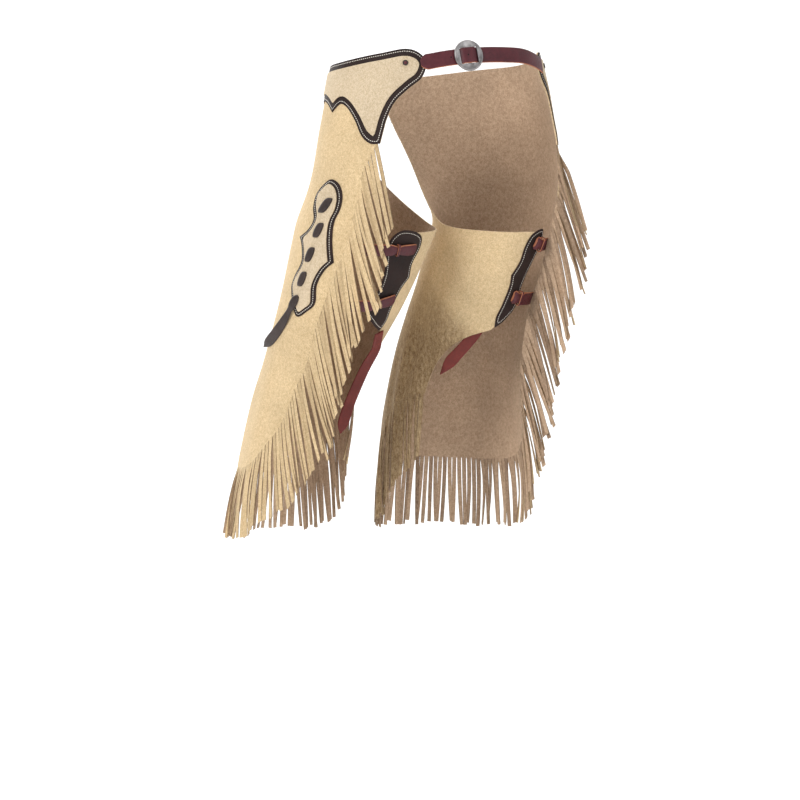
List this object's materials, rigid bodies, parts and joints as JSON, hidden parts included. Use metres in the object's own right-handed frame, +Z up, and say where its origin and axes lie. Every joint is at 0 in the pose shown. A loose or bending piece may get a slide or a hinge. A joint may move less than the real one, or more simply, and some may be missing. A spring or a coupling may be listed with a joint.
{
  "type": "fringed leather chaps",
  "caption": "Fringed suede chaps in worn form: hollow leg panels with scalloped yokes, laced badges, thigh closures and a waist belt with a round buckle.",
  "frame": {"origin": "middle of the waist at the height of the belt's buckle, where the wearer holds the chaps up", "axes": "+Z up, +X to the wearer's left, -Y the way the wearer faces"},
  "size_m": [0.4312, 0.3725, 0.6949],
  "materials": {
    "suede": "napped suede outside, smooth and taupe inside",
    "dark_leather": "smooth dark brown, with pale stitching near its edges",
    "cream_leather": "fine cream nubuck",
    "burgundy_leather": "waxed burgundy with raw orange edges",
    "brushed_steel": "dull worn steel"
  },
  "bodies": {
    "root": {"badge_base_left": "dark_leather", "badge_base_right": "dark_leather", "badge_lace_1_left": "dark_leather", "badge_lace_1_right": "dark_leather", "badge_lace_2_left": "dark_leather", "badge_lace_2_right": "dark_leather", "badge_lace_3_left": "dark_leather", "badge_lace_3_right": "dark_leather", "badge_lace_4_left": "dark_leather", "badge_lace_4_right": "dark_leather", "badge_lace_tail_left": "dark_leather", "badge_lace_tail_right": "dark_leather", "badge_overlay_left": "cream_leather", "badge_overlay_right": "cream_leather", "belt_left": "burgundy_leather", "belt_right": "burgundy_leather", "buckle": "brushed_steel", "closure_keeper_lower_left": "burgundy_leather", "closure_keeper_lower_right": "burgundy_leather", "closure_keeper_upper_left": "burgundy_leather", "closure_keeper_upper_right": "burgundy_leather", "closure_strap_lower_left": "burgundy_leather", "closure_strap_lower_right": "burgundy_leather", "closure_strap_upper_left": "burgundy_leather", "closure_strap_upper_right": "burgundy_leather", "closure_tail_left": "burgundy_leather", "closure_tail_right": "burgundy_leather", "fringe_back_left": "suede", "fringe_back_right": "suede", "fringe_hem_left": "suede", "fringe_hem_right": "suede", "front_tie": "burgundy_leather", "panel_left": "suede", "panel_right": "suede", "plate_left": "dark_leather", "plate_right": "dark_leather", "yoke_overlay_left": "cream_leather", "yoke_overlay_right": "cream_leather", "yoke_rivet_left": "dark_leather", "yoke_rivet_right": "dark_leather", "yoke_trim_left": "dark_leather", "yoke_trim_right": "dark_leather"}
  },
  "joints": []
}
